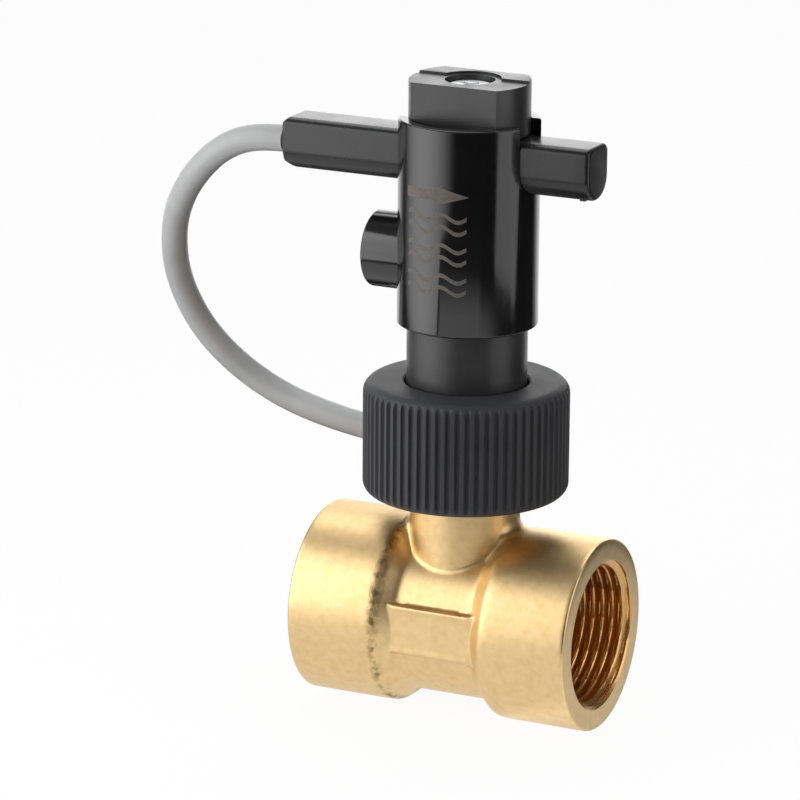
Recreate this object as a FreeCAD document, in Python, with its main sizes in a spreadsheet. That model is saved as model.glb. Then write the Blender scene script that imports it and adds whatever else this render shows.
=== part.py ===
"""Paddle flow switch on a brass threaded tee, held by a ribbed union nut.

The row's origin is the centre of the inlet mouth. +X is the flow direction, +Z points up the switch head.
Every piece is drawn about the place where the run's axis and the branch's axis cross, and its Placement
carries it there, half a run from the origin. Lengths are millimetres, angles are degrees.
"""
import FreeCAD, Part
import Sketcher
import math
import os
import re

Vector = FreeCAD.Vector
X_AXIS, Y_AXIS, Z_AXIS = Vector(1, 0, 0), Vector(0, 1, 0), Vector(0, 0, 1)

# ---------------------------------------------------------------- driving dimensions
SIZES = {
    "tee": [
        ("run_length", 52.7, "face to face"),
        ("socket_radius", 16.9, "outside of the two threaded sockets"),
        ("socket_length", 16.0, "cylindrical stretch of a socket"),
        ("socket_edge", 0.8, "chamfer at a socket's end face"),
        ("shoulder_length", 2.8, "slope from a socket down to the waist"),
        ("shoulder_rounding", 1.0, "edge between that slope and the socket"),
        ("waist_radius", 14.2, "outside between the sockets"),
        ("flat_reach", 14.6, "spanner flat, from the run's axis"),
        ("flat_height", 9.2, "spanner flat, top edge to bottom edge"),
        ("thread_wall_radius", 12.06, "3/4 inch pipe thread, across its crests"),
        ("mouth_radius", 13.22, "outer edge of the countersink"),
        ("countersink_depth", 0.5, "countersink along the run"),
        ("thread_depth", 15.5, "end of the thread, from the end face"),
        ("waterway_radius", 10.0, "bore between the threads"),
        ("neck_radius", 9.6, "outside of the branch below the nut"),
        ("neck_fillet", 0.4, "root of the branch"),
        ("collar_radius", 13.2, "outside of the branch's threaded collar"),
        ("collar_bottom", 25.0, "height of the collar's lower face"),
        ("collar_top", 35.5, "height of the collar's upper face"),
        ("collar_edge", 0.7, "chamfer of the collar"),
        ("branch_bore_radius", 7.7, "bore of the branch"),
        ("seal_seat_radius", 10.05, "counterbore that takes the sealing spigot"),
        ("seal_seat_height", 31.0, "floor of that counterbore"),
    ],
    "nut": [
        ("nut_radius", 18.0, "outside, over the ribs"),
        ("nut_bottom", 22.7, "height of the lower face"),
        ("nut_top", 42.8, "height of the upper face"),
        ("nut_rounding", 2.1, "rounding of both outer edges"),
        ("rib_count", 67, "ribs round the nut"),
        ("rib_groove_width", 0.75, "groove between two ribs"),
        ("rib_groove_depth", 0.5, "same groove"),
        ("rib_stop", 3.1, "plain band above the grooves"),
        ("nut_clearance", 0.1, "between the nut and what it turns on"),
        ("nut_hole_clearance", 0.4, "round the neck that comes out of the nut"),
    ],
    "insert": [
        ("nose_radius", 7.4, "outside of the nose in the branch bore"),
        ("nose_bore_radius", 5.6, "inside of the nose"),
        ("nose_bottom", 20.5, "height of the nose's open end"),
        ("spigot_radius", 9.9, "outside of the sealing spigot"),
        ("spigot_gap", 0.2, "spigot's lower face above its seat"),
        ("groove_radius", 8.3, "floor of the seal's groove"),
        ("groove_bottom", 32.2, "height of the groove's lower side"),
        ("groove_width", 2.2, "groove along the branch"),
        ("ring_section", 0.85, "radius of the sealing ring's section"),
        ("flange_radius", 12.4, "flange that the nut pulls down"),
        ("flange_thickness", 3.7, "same flange"),
        ("tower_radius", 10.5, "neck and block"),
        ("cavity_radius", 8.3, "wet space round the lever's magnet"),
        ("cavity_bottom", 41.5, "height where the nose bore starts to widen"),
        ("cavity_top", 74.2, "height of the cavity's ceiling"),
        ("block_top", 96.15, "highest face of the block"),
        ("block_flat", 6.8, "flats of the block, from its axis"),
        ("flat_start", 87.2, "height where the flats begin"),
        ("block_edge", 0.35, "rounding of the block's upper edges"),
        ("block_step", 0.4, "front half of the top face below its back half"),
        ("step_line", 1.6, "the step, behind the block's axis"),
        ("step_ring_radius", 5.4, "lowered ring round the screw hole"),
        ("recess_radius", 4.35, "hole over the clamp screw's head"),
        ("recess_floor", 91.6, "height of that hole's floor"),
        ("socket_hole_radius", 3.0, "hole for the threaded insert and the clamp pad"),
    ],
    "paddle": [
        ("pivot_height", 27.0, "pivot above the run's axis"),
        ("pin_radius", 1.0, "pivot pin"),
        ("pin_recess", 0.2, "pin end below the nose's outside"),
        ("pivot_clearance", 0.05, "radial, between pin and hub"),
        ("hub_radius", 2.6, "lever's hub"),
        ("hub_width", 9.0, "lever's hub along the pin"),
        ("lean_angle", 6.5, "upper arm from upright, downstream"),
        ("arm_thickness", 2.4, "upper arm along the flow"),
        ("arm_width", 4.0, "upper arm across the flow"),
        ("pocket_start", 33.2, "floor of the magnet pocket, from the pivot"),
        ("pocket_wall", 0.65, "wall of the magnet pocket"),
        ("magnet_radius", 1.9, "lever magnet"),
        ("magnet_length", 10.8, "lever magnet"),
        ("stem_thickness", 1.4, "lower arm along the flow"),
        ("stem_width", 7.6, "lower arm across the flow"),
        ("stem_bottom", 13.0, "height of the lower arm's end"),
        ("blade_thickness", 0.8, "sheet of the paddle blade"),
        ("blade_top", 22.8, "height of the blade's upper edge"),
        ("blade_tip", -9.0, "height of the blade's rounded tip"),
        ("blade_neck", 9.2, "blade width in the branch"),
        ("blade_width", 12.0, "blade width in the run"),
        ("blade_shoulder", 6.5, "height where the blade widens"),
        ("rivet_radius", 0.8, "rivet shank"),
        ("rivet_head_radius", 1.5, "rivet head"),
        ("rivet_head_height", 0.55, "rivet head"),
        ("rivet_upper", 20.0, "height of the upper rivet"),
        ("rivet_lower", 15.6, "height of the lower rivet"),
        ("slip", 0.03, "radial, between pieces pushed into one another"),
    ],
    "housing": [
        ("housing_radius", 12.25, "outside of the sleeve"),
        ("housing_bottom", 53.15, "height of the lower rim"),
        ("housing_top", 89.25, "height of the upper rim"),
        ("housing_edge", 0.4, "rounding of the rims"),
        ("sleeve_clearance", 0.1, "between the sleeve and the tower"),
        ("boss_radius", 6.75, "magnet boss"),
        ("boss_height", 64.4, "height of the boss's axis"),
        ("boss_reach", 17.6, "boss's end face, from the branch axis"),
        ("boss_edge", 0.5, "rounding of the boss's end"),
        ("boss_bore_radius", 4.2, "bore of the boss"),
        ("boss_pocket", 9.6, "magnet's seat in the tower, from the branch axis"),
        ("reset_magnet_length", 5.7, "reset magnet"),
    ],
    "reed": [
        ("bar_left", 33.7, "bar's cable end, from the branch axis"),
        ("bar_right", 24.05, "end cap's face, from the branch axis"),
        ("bar_width", 8.6, "across the flow"),
        ("bar_bottom", 77.2, "height of the lower face"),
        ("bar_depth", 9.35, "lower face to upper face"),
        ("bar_lower_corner", 4.1, "rounding of the long lower edges"),
        ("bar_upper_corner", 1.5, "rounding of the long upper edges"),
        ("bar_side_clearance", 0.12, "each side of the bar in its slot"),
        ("bar_floor_clearance", 0.1, "below the bar"),
        ("bar_ceiling_clearance", 0.3, "above the bar"),
        ("bar_end_bevel", 1.6, "edges of the cable end"),
        ("channel_radius", 2.5, "bore along the bar"),
        ("end_wall", 2.4, "wall at the cable end"),
        ("cap_thickness", 3.0, "end cap"),
        ("cap_rounding", 0.7, "rounding of the end cap's face"),
        ("cap_plug_length", 3.0, "end cap's plug in the channel"),
        ("nub_length", 1.0, "stop under the bar, beside the cap"),
        ("nub_width", 1.6, "same stop"),
        ("nub_height", 0.25, "same stop"),
        ("collar_outer_radius", 2.28, "cable collar"),
        ("collar_inner_radius", 1.65, "cable collar"),
        ("collar_proud", 1.4, "cable collar out of the bar"),
        ("collar_flange_length", 1.2, "cable collar inside the bar"),
        ("glass_radius", 1.35, "reed switch glass"),
        ("glass_wall", 0.35, "reed switch glass"),
        ("glass_length", 14.0, "reed switch glass"),
        ("lead_radius", 0.3, "reed switch leads"),
        ("lead_reach", 12.5, "end of a lead, from the glass's middle"),
        ("contact_overlap", 1.2, "the two reeds beside each other"),
        ("contact_gap", 0.12, "between the open reeds"),
        ("core_radius", 0.62, "insulated cable core"),
        ("core_spread", 0.78, "a core's axis, from the cable's axis"),
    ],
    "clamp": [
        ("thread_radius", 2.0, "clamp screw"),
        ("screw_head_radius", 3.95, "clamp screw"),
        ("screw_head_top", 94.15, "height of the head's face"),
        ("screw_head_height", 2.2, "clamp screw"),
        ("drive_length", 4.6, "cross recess, end to end"),
        ("drive_width", 0.9, "cross recess"),
        ("drive_depth", 1.3, "cross recess"),
        ("pad_travel", 0.6, "room for the clamp pad below the threaded insert"),
        ("pad_thickness", 1.2, "clamp pad"),
        ("pad_gap", 0.1, "clamp pad above the bar, and below the screw"),
    ],
    "cable": [
        ("cable_radius", 2.375, "outside of the jacket"),
        ("coil_radius", 24.25, "middle of the stored turns"),
        ("coil_x", -24.0, "coil's axis, along the run"),
        ("coil_y", 49.0, "coil's axis, behind the run"),
        ("coil_columns", 3, "turns beside each other in the lower layer"),
        ("bare_length", 20.0, "cores without their jacket at the free end"),
        ("ferrule_length", 8.0, "sleeves crimped on the free cores"),
        ("ferrule_radius", 0.95, "same sleeves"),
        ("tie_thickness", 1.0, "strap round the coil"),
        ("tie_width", 3.0, "strap round the coil"),
        ("tie_slack", 0.15, "between the strap and the coil"),
        ("tie_turn", -42, "strap's place round the coil, from the run's direction"),
    ],
}

doc = FreeCAD.newDocument("paddle_flow_switch")
sheet = doc.addObject("Spreadsheet::Sheet", "sizes")
row = 0
for group, lines in SIZES.items():
    row += 1
    sheet.set("A%d" % row, group)
    for alias, number, meaning in lines:
        row += 1
        sheet.set("A%d" % row, alias)
        sheet.set("B%d" % row, str(number))
        sheet.set("C%d" % row, meaning)
        sheet.setAlias("B%d" % row, alias)
doc.recompute()
ALIASES = {alias for lines in SIZES.values() for alias, _, _ in lines}


def bound(words):
    """The expression for these words, with the sheet's name put before each alias."""
    return re.sub(r"[a-z_]+", lambda m: "sizes." + m[0] if m[0] in ALIASES else m[0], words)


def worth(words):
    """What the words come to now, as a plain number."""
    value = sheet.evalExpression(bound(words))
    return float(getattr(value, "Value", value))


def bind(thing, prop, words):
    """Sets a property by expression, so that it follows the sheet."""
    thing.setExpression(prop, bound(words))


def place(thing, height="0", turn=None, angle="0"):
    """Puts a piece, drawn about the crossing of the axes, where the tee's branch stands in the row's frame."""
    if turn is not None:
        thing.Placement = FreeCAD.Placement(Vector(), FreeCAD.Rotation(turn, worth(angle)))
        bind(thing, "Placement.Rotation.Angle", angle)
    bind(thing, "Placement.Base.x", "run_length / 2")
    if height != "0":
        bind(thing, "Placement.Base.z", height)
    return thing


def body(name, height="0", turn=None, angle="0"):
    """An empty PartDesign body with its own Label and Placement."""
    made = doc.addObject("PartDesign::Body", name)
    made.Label = name
    return place(made, height, turn, angle)


def plane(part, role):
    return next(o for o in part.Origin.OriginFeatures if o.Role == role)


def sketch(part, role, outlines=(), circles=(), turn=None, lift=None):
    """A sketch on one of the body's own planes. An outline is a closed loop of (across, up) in words.

    A circle is (across, up, radius). Every coordinate is a constraint that follows the sheet.
    turn rotates the sketch in its plane, and lift moves it along the plane's normal.
    """
    drawn = part.newObject("Sketcher::SketchObject", part.Name + "_outline")
    drawn.AttachmentSupport = [(plane(part, role), "")]
    drawn.MapMode = "FlatFace"
    if turn is not None:
        drawn.AttachmentOffset = FreeCAD.Placement(Vector(), FreeCAD.Rotation(Z_AXIS, worth(turn)))
        bind(drawn, "AttachmentOffset.Rotation.Angle", turn)
    if lift is not None:
        bind(drawn, "AttachmentOffset.Base.z", lift)

    def fix(kind, geometry, point, words):
        terms = [geometry, point] if point else [geometry]
        index = drawn.addConstraint(Sketcher.Constraint(kind, *terms, worth(words)))
        if any(alias in words for alias in ALIASES):
            bind(drawn, "Constraints[%d]" % index, words)

    for outline in outlines:
        corners = [Vector(worth(a), worth(b), 0) for a, b in outline]
        first = drawn.GeometryCount
        count = len(corners)
        for i in range(count):
            drawn.addGeometry(Part.LineSegment(corners[i], corners[(i + 1) % count]), False)
        for i in range(count):
            joined = Sketcher.Constraint("Coincident", first + i, 2, first + (i + 1) % count, 1)
            drawn.addConstraint(joined)
        for i, (across, up) in enumerate(outline):
            fix("DistanceX", first + i, 1, across)
            fix("DistanceY", first + i, 1, up)
    for across, up, radius in circles:
        centre = Vector(worth(across), worth(up), 0)
        index = drawn.addGeometry(Part.Circle(centre, Z_AXIS, worth(radius)), False)
        fix("DistanceX", index, 3, across)
        fix("DistanceY", index, 3, up)
        fix("Radius", index, 0, radius)
    doc.recompute()
    return drawn


def revolved(part, drawn, axis="V_Axis", cut=False):
    """Turns a sketch round one of its own axes, as metal or as a groove."""
    kind = "PartDesign::Groove" if cut else "PartDesign::Revolution"
    made = part.newObject(kind, part.Name + ("_groove" if cut else "_turned"))
    made.Profile = drawn
    made.ReferenceAxis = (drawn, [axis])
    made.Angle = 360
    doc.recompute()
    return made


def padded(part, drawn, length, symmetric=False, reverse=False):
    made = part.newObject("PartDesign::Pad", part.Name + "_pad")
    made.Profile = drawn
    made.SideType = "Symmetric" if symmetric else "One side"
    made.Reversed = reverse
    bind(made, "Length", length)
    doc.recompute()
    return made


def pocketed(part, drawn, length, symmetric=False, reverse=False):
    """Cuts a sketch into the body, and stops if nothing was taken away."""
    before = part.Shape.Volume
    made = part.newObject("PartDesign::Pocket", part.Name + "_pocket")
    made.Profile = drawn
    made.Type = "Length"
    made.SideType = "Symmetric" if symmetric else "One side"
    made.Reversed = reverse
    bind(made, "Length", length)
    doc.recompute()
    if not part.Shape.Volume < before:
        raise RuntimeError(made.Name + " cuts nothing")
    return made


def dressed(part, kind, size_words, chosen):
    """A Fillet or Chamfer on the edges of the body's last feature that the test picks."""
    base = part.Tip
    names = ["Edge%d" % (i + 1) for i, edge in enumerate(base.Shape.Edges) if chosen(edge)]
    if not names:
        raise RuntimeError("%s has no edge for its %s" % (part.Name, kind))
    made = part.newObject("PartDesign::" + kind, part.Name + "_" + kind.lower())
    made.Base = (base, names)
    bind(made, "Radius" if kind == "Fillet" else "Size", size_words)
    doc.recompute()
    if made.Shape.isNull():
        raise RuntimeError("%s on %s fails" % (kind, part.Name))
    return made


def is_ring(edge, radius, height):
    """Is this edge a circle of that radius round the Z axis, at that height?"""
    curve = edge.Curve
    return (
        isinstance(curve, Part.Circle)
        and abs(curve.Radius - radius) < 1e-4
        and abs(curve.Center.z - height) < 1e-4
        and abs(curve.Axis.z) > 0.999
    )


def along_x(edge):
    """Is this a straight edge along X?"""
    return isinstance(edge.Curve, Part.Line) and abs(edge.Curve.Direction.x) > 0.999


def turned(name, outline, height="0", turn=None, angle="0"):
    """A piece turned round its own Z axis from one closed outline of (radius, height)."""
    part = body(name, height, turn, angle)
    revolved(part, sketch(part, "XZ_Plane", [outline]))
    return part


def rod(bottom, top, radius, bore="0"):
    """The outline of a plain rod or tube."""
    return [(bore, bottom), (radius, bottom), (radius, top), (bore, top)]


# ---------------------------------------------------------------- brass tee
def tee_body():
    """Forged brass tee: two sockets, a waist with spanner flats and a branch with a threaded collar."""
    part = body("tee_body")
    half, waist = "run_length / 2", "run_length / 2 - socket_length - shoulder_length"
    shoulder = "run_length / 2 - socket_length"
    right = [
        (waist, "waist_radius"),
        (shoulder, "socket_radius"),
        (half + " - socket_edge", "socket_radius"),
        (half, "socket_radius - socket_edge"),
    ]
    left = [("-(%s)" % along, out) for along, out in reversed(right)]
    run = [("-(%s)" % half, "0")] + left + right + [(half, "0")]
    revolved(part, sketch(part, "XZ_Plane", [run]), "H_Axis")
    rim = (worth(shoulder), worth("socket_radius"))

    def slope_edge(e):
        """A ring about the run's axis where the slope meets a socket."""
        return all(math.dist((abs(p.x), math.hypot(p.y, p.z)), rim) < 1e-3 for p in e.discretize(7))

    dressed(part, "Fillet", "shoulder_rounding", slope_edge)

    edge = waist + " + shoulder_length / 2"
    flats = [("-(%s)" % edge, "-flat_height / 2"), (edge, "-flat_height / 2")]
    flats += [(edge, "flat_height / 2"), ("-(%s)" % edge, "flat_height / 2")]
    padded(part, sketch(part, "XZ_Plane", [flats]), "2 * flat_reach", symmetric=True)

    branch = [("0", "waterway_radius / 2"), ("neck_radius", "waterway_radius / 2")]
    branch += [("neck_radius", "collar_bottom"), ("collar_radius - collar_edge", "collar_bottom")]
    branch += [("collar_radius", "collar_bottom + collar_edge"), ("collar_radius", "collar_top - collar_edge")]
    branch += [("collar_radius - collar_edge", "collar_top"), ("0", "collar_top")]
    revolved(part, sketch(part, "XZ_Plane", [branch]))

    neck, lowest = worth("neck_radius"), worth("waterway_radius")
    highest = worth("collar_bottom") - 2

    def root(e):
        """The curve where the branch leaves the run: on the neck's wall, below the collar."""
        if e.Curve.TypeId == "Part::GeomLine":
            return False
        points = e.discretize(7)
        on_neck = all(abs(math.hypot(p.x, p.y) - neck) < 1e-3 for p in points)
        return on_neck and all(lowest < p.z < highest for p in points)

    dressed(part, "Fillet", "neck_fillet", root)

    bore = [("-(%s)" % half, "0"), ("-(%s)" % half, "mouth_radius")]
    inward = [
        (half + " - countersink_depth", "thread_wall_radius"),
        (half + " - thread_depth", "thread_wall_radius"),
        (half + " - thread_depth - thread_wall_radius + waterway_radius", "waterway_radius"),
    ]
    bore += [("-(%s)" % along, out) for along, out in inward] + inward[::-1]
    bore += [(half, "mouth_radius"), (half, "0")]
    revolved(part, sketch(part, "XZ_Plane", [bore]), "H_Axis", cut=True)

    shaft = [("0", "0"), ("branch_bore_radius", "0"), ("branch_bore_radius", "seal_seat_height")]
    shaft += [("seal_seat_radius", "seal_seat_height"), ("seal_seat_radius", "collar_top"), ("0", "collar_top")]
    revolved(part, sketch(part, "XZ_Plane", [shaft]), cut=True)


# ---------------------------------------------------------------- union nut
def union_nut():
    """Moulded nut that pulls the insert's flange down on the tee's collar."""
    part = body("union_nut")
    inside = "collar_radius + nut_clearance"
    hole = "tower_radius + nut_hole_clearance"
    shoulder = "collar_top + flange_thickness + nut_clearance"
    outline = [(inside, "nut_bottom"), ("nut_radius", "nut_bottom"), ("nut_radius", "nut_top")]
    outline += [(hole, "nut_top"), (hole, shoulder), (inside, shoulder)]
    revolved(part, sketch(part, "XZ_Plane", [outline]))
    radius, low, high = worth("nut_radius"), worth("nut_bottom"), worth("nut_top")
    dressed(part, "Fillet", "nut_rounding", lambda e: is_ring(e, radius, low) or is_ring(e, radius, high))
    side, floor = "rib_groove_width / 2", "nut_radius - rib_groove_depth"
    groove = [(floor, "-0.4 * (%s)" % side), ("nut_radius + 0.2", "-(%s)" % side)]
    groove += [("nut_radius + 0.2", side), (floor, "0.4 * (%s)" % side)]
    drawn = sketch(part, "XY_Plane", [groove], lift="nut_bottom - 1")
    cut = pocketed(part, drawn, "nut_top - nut_bottom + 1 - rib_stop", reverse=True)
    pattern = part.newObject("PartDesign::PolarPattern", "union_nut_ribs")
    pattern.Originals = [cut]
    pattern.Axis = (part.Origin.OriginFeatures[2], [""])
    pattern.Angle = 360
    bind(pattern, "Occurrences", "rib_count")
    part.Tip = pattern
    doc.recompute()


# ---------------------------------------------------------------- switch insert and its seal
def switch_insert():
    """Moulded insert: nose, sealing spigot, flange, hollow neck and the block at the top."""
    part = body("switch_insert")
    cavity_step = "cavity_bottom + cavity_radius - nose_bore_radius"
    outline = [
        ("nose_bore_radius", "nose_bottom"),
        ("nose_radius", "nose_bottom"),
        ("nose_radius", "seal_seat_height + spigot_gap"),
        ("spigot_radius", "seal_seat_height + spigot_gap"),
        ("spigot_radius", "groove_bottom"),
        ("groove_radius", "groove_bottom"),
        ("groove_radius", "groove_bottom + groove_width"),
        ("spigot_radius", "groove_bottom + groove_width"),
        ("spigot_radius", "collar_top"),
        ("flange_radius", "collar_top"),
        ("flange_radius", "collar_top + flange_thickness"),
        ("tower_radius", "collar_top + flange_thickness"),
        ("tower_radius", "block_top"),
        ("0", "block_top"),
        ("0", "cavity_top"),
        ("cavity_radius", "cavity_top"),
        ("cavity_radius", cavity_step),
        ("nose_bore_radius", "cavity_bottom"),
    ]
    revolved(part, sketch(part, "XZ_Plane", [outline]))

    side = [("block_flat", "flat_start"), ("tower_radius + 1", "flat_start")]
    side += [("tower_radius + 1", "block_top + 1"), ("block_flat", "block_top + 1")]
    other = [("-(%s)" % across, up) for across, up in side]
    pocketed(part, sketch(part, "YZ_Plane", [side, other]), "4 * tower_radius", symmetric=True)
    top = worth("block_top")
    dressed(part, "Fillet", "block_edge", lambda e: all(abs(p.z - top) < 1e-4 for p in e.discretize(5)))

    front = [("-tower_radius - 1", "-tower_radius - 1"), ("tower_radius + 1", "-tower_radius - 1")]
    front += [("tower_radius + 1", "step_line"), ("-tower_radius - 1", "step_line")]
    pocketed(part, sketch(part, "XY_Plane", [front], lift="block_top"), "block_step")
    ring = sketch(part, "XY_Plane", circles=[("0", "0", "step_ring_radius")], lift="block_top")
    pocketed(part, ring, "block_step")

    recess = sketch(part, "XY_Plane", circles=[("0", "0", "recess_radius")], lift="block_top")
    pocketed(part, recess, "block_top - recess_floor")
    hole = sketch(part, "XY_Plane", circles=[("0", "0", "socket_hole_radius")], lift="recess_floor")
    pocketed(part, hole, "recess_floor - bar_bottom - bar_depth / 2")
    bar_slot(part, "bar_bottom + bar_depth + bar_ceiling_clearance")

    pin_hole = sketch(part, "XZ_Plane", circles=[("0", "pivot_height", "pin_radius + slip")])
    pocketed(part, pin_hole, "4 * nose_radius", symmetric=True)
    seat = sketch(part, "YZ_Plane", circles=[("0", "boss_height", "boss_bore_radius")], lift="-boss_pocket")
    pocketed(part, seat, "tower_radius", reverse=False)


def bar_slot(part, ceiling):
    """Cuts the bar's way along X: flat floor with rounded corners, up to the ceiling."""
    side = "bar_width / 2 + bar_side_clearance"
    floor = "bar_bottom - bar_floor_clearance"
    way = [("-(%s)" % side, floor), (side, floor), (side, ceiling), ("-(%s)" % side, ceiling)]
    pocketed(part, sketch(part, "YZ_Plane", [way]), "4 * housing_radius", symmetric=True)
    low = worth(floor)
    dressed(part, "Fillet", "bar_lower_corner", lambda e: along_x(e) and abs(e.Vertexes[0].Point.z - low) < 1e-4)


def spigot_seal():
    """Rubber ring in the spigot's groove."""
    ring = doc.addObject("Part::Torus", "spigot_seal")
    ring.Label = "spigot_seal"
    bind(ring, "Radius1", "(groove_radius + seal_seat_radius) / 2")
    bind(ring, "Radius2", "ring_section")
    place(ring, "groove_bottom + groove_width / 2")


# ---------------------------------------------------------------- paddle and lever
def paddle_lever():
    """Cranked lever: hub on the pin, upper arm with the magnet's pocket, lower arm with the blade's seat."""
    part = body("paddle_lever", "pivot_height")
    hub = sketch(part, "XZ_Plane", circles=[("0", "0", "hub_radius")])
    padded(part, hub, "hub_width", symmetric=True)
    lean = "-lean_angle"
    outside = "magnet_radius + slip + pocket_wall"
    arm = [("-arm_thickness / 2", "0"), ("arm_thickness / 2", "0")]
    arm += [("arm_thickness / 2", "pocket_start - 0.5"), ("-arm_thickness / 2", "pocket_start - 0.5")]
    padded(part, sketch(part, "XZ_Plane", [arm], turn=lean), "arm_width", symmetric=True)
    inside, top = "magnet_radius + slip", "pocket_start + magnet_length + pocket_wall + 0.6"
    pocket = [("0", "pocket_start - 1.2"), (outside, "pocket_start - 1.2"), (outside, top)]
    pocket += [(inside, top), (inside, "pocket_start"), ("0", "pocket_start")]
    revolved(part, sketch(part, "XZ_Plane", [pocket], turn=lean))
    low = "stem_bottom - pivot_height"
    stem = [("-stem_thickness", low), ("0", low), ("0", "0"), ("-stem_thickness", "0")]
    padded(part, sketch(part, "XZ_Plane", [stem]), "stem_width", symmetric=True)
    pin = sketch(part, "XZ_Plane", circles=[("0", "0", "pin_radius + pivot_clearance")])
    pocketed(part, pin, "2 * hub_width", symmetric=True)
    pocketed(part, sketch(part, "YZ_Plane", circles=rivet_holes()), "4 * stem_thickness", symmetric=True)


def rivet_holes():
    """The two rivets' holes, seen along the flow, from the pivot."""
    return [("0", "%s - pivot_height" % height, "rivet_radius + slip") for height in ("rivet_upper", "rivet_lower")]


def paddle_blade():
    """Thin sheet blade: narrow in the branch, wide with a rounded tip in the run."""
    part = body("paddle_blade", "pivot_height")
    wide, slim = "blade_width / 2", "blade_neck / 2"
    step = "blade_shoulder - pivot_height"
    slope = "(%s) - (blade_width - blade_neck) / 2" % step
    right = [(wide, "blade_tip - pivot_height"), (wide, slope), (slim, step), (slim, "blade_top - pivot_height")]
    left = [("-(%s)" % across, up) for across, up in reversed(right)]
    padded(part, sketch(part, "YZ_Plane", [right + left]), "blade_thickness")
    low = worth("blade_tip - pivot_height")

    def tip_corner(e):
        return along_x(e) and abs(e.Vertexes[0].Point.z - low) < 1e-4

    dressed(part, "Fillet", "blade_width / 2 - 0.01", tip_corner)
    pocketed(part, sketch(part, "YZ_Plane", circles=rivet_holes()), "4 * blade_thickness", symmetric=True)


def blade_rivets():
    """Two rivets through the lower arm and the blade, as one group."""
    parts = []
    outline = [
        ("0", "-stem_thickness - rivet_head_height"),
        ("rivet_head_radius", "-stem_thickness - rivet_head_height"),
        ("rivet_head_radius", "-stem_thickness"),
        ("rivet_radius", "-stem_thickness"),
        ("rivet_radius", "blade_thickness"),
        ("rivet_head_radius", "blade_thickness"),
        ("rivet_head_radius", "blade_thickness + rivet_head_height"),
        ("0", "blade_thickness + rivet_head_height"),
    ]
    for height in ("rivet_upper", "rivet_lower"):
        parts.append(turned("rivet_" + height[6:], outline, height, Y_AXIS, "90"))
    grouped("blade_rivets", parts)


def grouped(name, parts):
    """Several loose solids of one kind as one named piece."""
    group = doc.addObject("Part::Compound", name)
    group.Label = name
    group.Links = parts
    doc.recompute()


def lever_magnet():
    """Bar magnet in the lever's pocket, and the cap that closes the pocket."""
    top = "pocket_start + magnet_length"
    turned("lever_magnet", rod("pocket_start", top, "magnet_radius"), "pivot_height", Y_AXIS, "lean_angle")
    rim = top + " + pocket_wall + 0.6"
    outside = "magnet_radius + slip + pocket_wall"
    cap = [("0", top), ("magnet_radius", top), ("magnet_radius", rim), (outside, rim)]
    cap += [(outside, rim + " + pocket_wall"), ("0", rim + " + pocket_wall")]
    turned("magnet_cap", cap, "pivot_height", Y_AXIS, "lean_angle")


def pivot_pin():
    """Stainless pin across the nose, on which the lever's hub swings."""
    part = body("pivot_pin", "pivot_height")
    pin = sketch(part, "XZ_Plane", circles=[("0", "0", "pin_radius")])
    padded(part, pin, "2 * (nose_radius - pin_recess)", symmetric=True)


# ---------------------------------------------------------------- housing with the reset magnet
def switch_housing():
    """Glossy sleeve over the tower: two slots for the bar, open at the top, and the magnet's boss."""
    part = body("switch_housing")
    outer = rod("housing_bottom", "housing_top", "housing_radius")
    revolved(part, sketch(part, "XZ_Plane", [outer]))
    radius, low, high = worth("housing_radius"), worth("housing_bottom"), worth("housing_top")
    dressed(part, "Fillet", "housing_edge", lambda e: is_ring(e, radius, low) or is_ring(e, radius, high))
    boss = sketch(part, "YZ_Plane", circles=[("0", "boss_height", "boss_radius")])
    padded(part, boss, "boss_reach", reverse=True)
    end = -worth("boss_reach")
    dressed(part, "Fillet", "boss_edge", lambda e: all(abs(v.Point.x - end) < 1e-4 for v in e.Vertexes))
    inner = sketch(part, "XY_Plane", circles=[("0", "0", "tower_radius + sleeve_clearance")], lift="housing_top")
    pocketed(part, inner, "housing_top - housing_bottom")
    bar_slot(part, "housing_top + 1")
    bore = sketch(part, "YZ_Plane", circles=[("0", "boss_height", "boss_bore_radius")], lift="-boss_reach")
    pocketed(part, bore, "boss_reach", reverse=True)


def reset_magnet():
    """Magnet in the boss that pushes the lever back, and the plug that holds it in."""
    shut = "boss_pocket + reset_magnet_length + 0.1"
    thick = "boss_bore_radius - 0.1"
    turned("reset_magnet", rod("boss_pocket + 0.05", shut, thick), "boss_height", Y_AXIS, "-90")
    turned("magnet_plug", rod(shut, "boss_reach", "boss_bore_radius - slip"), "boss_height", Y_AXIS, "-90")


# ---------------------------------------------------------------- reed carrier and what is in it
CABLE_AXIS = "bar_bottom + bar_depth / 2"


def bar_section():
    side, top = "bar_width / 2", "bar_bottom + bar_depth"
    return [("-(%s)" % side, "bar_bottom"), (side, "bar_bottom"), (side, top), ("-(%s)" % side, top)]


def round_bar_edges(part):
    low, high = worth("bar_bottom"), worth("bar_bottom + bar_depth")
    for size_words, level in (("bar_lower_corner", low), ("bar_upper_corner", high)):
        dressed(part, "Fillet", size_words, lambda e: along_x(e) and abs(e.Vertexes[0].Point.z - level) < 1e-4)


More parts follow.
